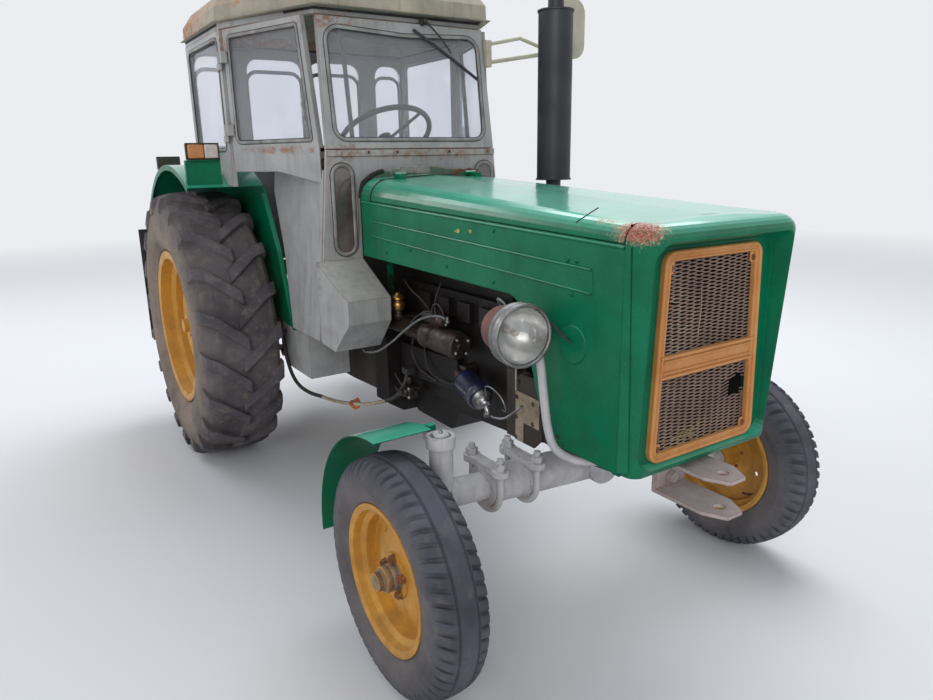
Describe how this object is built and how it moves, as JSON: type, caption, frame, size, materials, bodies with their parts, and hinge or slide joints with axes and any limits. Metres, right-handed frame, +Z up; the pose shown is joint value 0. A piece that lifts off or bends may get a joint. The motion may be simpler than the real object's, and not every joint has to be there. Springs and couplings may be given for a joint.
{
  "type": "vintage tractor",
  "caption": "Old farm tractor with a long sheet-metal bonnet, a glazed steel cab, lugged rear tyres, a steered front axle and a rear linkage.",
  "frame": {"origin": "on the ground, under the middle of the tractor's length and width", "axes": "+X points to the front of the tractor, +Y to its left, +Z up"},
  "size_m": [3.6457, 1.748, 2.2433],
  "materials": {
    "hood_paint": "weathered gloss",
    "wheel_paint": "weathered",
    "cab_paint": "weathered",
    "roof_paint": "weathered, rusty",
    "grille_paint": "weathered",
    "mesh_wire": "rusty",
    "axle_paint": "weathered",
    "hitch_paint": "weathered, rusty",
    "casting": "oily",
    "engine_casting": "oily",
    "fittings": "worn",
    "exhaust_paint": "satin",
    "lamp_metal": "worn",
    "lamp_cream": "worn",
    "rubber": "worn",
    "flap_rubber": "worn",
    "glass": "clear",
    "black_steel": "worn",
    "seat_cover": "worn",
    "wheel_plastic": "worn",
    "linkage_steel": "rusty",
    "mirror_paint": "worn"
  },
  "bodies": {
    "chassis": {"transmission": "casting", "engine": "engine_casting", "engine_fittings": "fittings", "front_support": "casting", "front_axle": "axle_paint", "front_hitch": "hitch_paint", "radiator": "black_steel", "nose": "hood_paint", "grille": "grille_paint", "grille_mesh": "mesh_wire", "hood_sides": "hood_paint", "cowl": "hood_paint", "exhaust": "exhaust_paint", "headlamps": "lamp_metal", "rear_fenders": "hood_paint", "mud_flaps": "flap_rubber", "rear_lamps": "lamp_cream", "cab_front": "cab_paint", "windscreen_frame": "cab_paint", "cab_sides": "cab_paint", "cab_rear": "cab_paint", "roof": "roof_paint", "windscreen": "glass", "cab_panes": "glass", "foot_boxes": "cab_paint", "step_boxes": "cab_paint", "floor": "black_steel", "seat": "seat_cover", "seat_base": "black_steel", "dash": "black_steel", "steering_box": "fittings", "mirror": "mirror_paint", "pipes": "black_steel"},
    "wheel_rear_right": {"rear_tyre_right": "rubber", "rear_wheel_right": "wheel_paint"},
    "wheel_rear_left": {"rear_tyre_left": "rubber", "rear_wheel_left": "wheel_paint"},
    "knuckle_right": {"knuckle_right": "axle_paint", "front_guard_right": "hood_paint"},
    "knuckle_left": {"knuckle_left": "axle_paint", "front_guard_left": "hood_paint"},
    "wheel_front_right": {"front_tyre_right": "rubber", "front_wheel_right": "wheel_paint"},
    "wheel_front_left": {"front_tyre_left": "rubber", "front_wheel_left": "wheel_paint"},
    "tie_rod": {"tie_rod": "linkage_steel"},
    "drag_link": {"drag_link": "linkage_steel"},
    "drop_arm": {"drop_arm": "linkage_steel"},
    "steering_wheel": {"steering_wheel": "wheel_plastic"},
    "door_right": {"door_right": "cab_paint", "door_glass_right": "glass"},
    "door_left": {"door_left": "cab_paint", "door_glass_left": "glass"},
    "hood_lid": {"hood_lid": "hood_paint"},
    "lift_arms": {"lift_arms": "linkage_steel"},
    "lift_rods": {"lift_rods": "linkage_steel"},
    "lower_links": {"lower_links": "linkage_steel"}
  },
  "joints": [
    {"name": "rear_right_spin", "type": "hinge", "parent": "chassis", "child": "wheel_rear_right", "pos_m": [-0.918, -0.685, 0.675], "axis": [0, 1, 0], "continuous": true},
    {"name": "rear_left_spin", "type": "hinge", "parent": "chassis", "child": "wheel_rear_left", "pos_m": [-0.918, 0.685, 0.675], "axis": [0, 1, 0], "continuous": true},
    {"name": "steer_right", "type": "hinge", "parent": "chassis", "child": "knuckle_right", "pos_m": [1.272, -0.59, 0.6], "axis": [0, 0, 1], "range_deg": [-38, 38]},
    {"name": "steer_left", "type": "hinge", "parent": "chassis", "child": "knuckle_left", "pos_m": [1.272, 0.59, 0.6], "axis": [0, 0, 1], "range_deg": [-38, 38]},
    {"name": "front_right_spin", "type": "hinge", "parent": "knuckle_right", "child": "wheel_front_right", "pos_m": [1.272, -0.726, 0.35], "axis": [0, 1, 0], "continuous": true},
    {"name": "front_left_spin", "type": "hinge", "parent": "knuckle_left", "child": "wheel_front_left", "pos_m": [1.272, 0.726, 0.35], "axis": [0, 1, 0], "continuous": true},
    {"name": "track_rod_pivot", "type": "hinge", "parent": "knuckle_left", "child": "tie_rod", "pos_m": [1.122, 0.59, 0.446], "axis": [0, 0, 1], "range_deg": [-38, 38]},
    {"name": "drop_arm_turn", "type": "hinge", "parent": "chassis", "child": "drop_arm", "pos_m": [1.148, 0.226, 0.54], "axis": [0, 0, 1], "range_deg": [-38, 38]},
    {"name": "drag_link_pivot", "type": "hinge", "parent": "drop_arm", "child": "drag_link", "pos_m": [1.044, 0.226, 0.492], "axis": [0, 0, 1], "range_deg": [-38, 38]},
    {"name": "steering_wheel_turn", "type": "hinge", "parent": "chassis", "child": "steering_wheel", "pos_m": [-0.178, 0.02, 1.585], "axis": [-0.5736, 0, 0.8192], "range_deg": [-480, 480]},
    {"name": "door_right_hinge", "type": "hinge", "parent": "chassis", "child": "door_right", "pos_m": [-0.446, -0.622, 1.4], "axis": [0, 0, -1], "range_deg": [0, 70]},
    {"name": "door_left_hinge", "type": "hinge", "parent": "chassis", "child": "door_left", "pos_m": [-0.446, 0.622, 1.4], "axis": [0, 0, 1], "range_deg": [0, 70]},
    {"name": "hood_hinge", "type": "hinge", "parent": "chassis", "child": "hood_lid", "pos_m": [0.305, 0, 1.43061], "axis": [0, -1, 0], "range_deg": [0, 55]},
    {"name": "lift_arm_turn", "type": "hinge", "parent": "chassis", "child": "lift_arms", "pos_m": [-1.068, 0, 0.905], "axis": [0, 1, 0], "range_deg": [-20, 20]},
    {"name": "lift_rod_swing", "type": "hinge", "parent": "lift_arms", "child": "lift_rods", "pos_m": [-1.33537, 0, 0.94258], "axis": [0, 1, 0], "range_deg": [-20, 20]},
    {"name": "lower_link_swing", "type": "hinge", "parent": "chassis", "child": "lower_links", "pos_m": [-0.988, 0, 0.445], "axis": [0, 1, 0], "range_deg": [-14, 14]}
  ],
  "couplings": [
    {"joint": "steer_left", "follows": "steer_right", "ratio": 1},
    {"joint": "track_rod_pivot", "follows": "steer_right", "ratio": -1},
    {"joint": "drop_arm_turn", "follows": "steer_right", "ratio": 1},
    {"joint": "drag_link_pivot", "follows": "steer_right", "ratio": -1},
    {"joint": "steering_wheel_turn", "follows": "steer_right", "ratio": 12},
    {"joint": "lift_rod_swing", "follows": "lift_arm_turn", "ratio": -0.955},
    {"joint": "lower_link_swing", "follows": "lift_arm_turn", "ratio": 0.6}
  ]
}
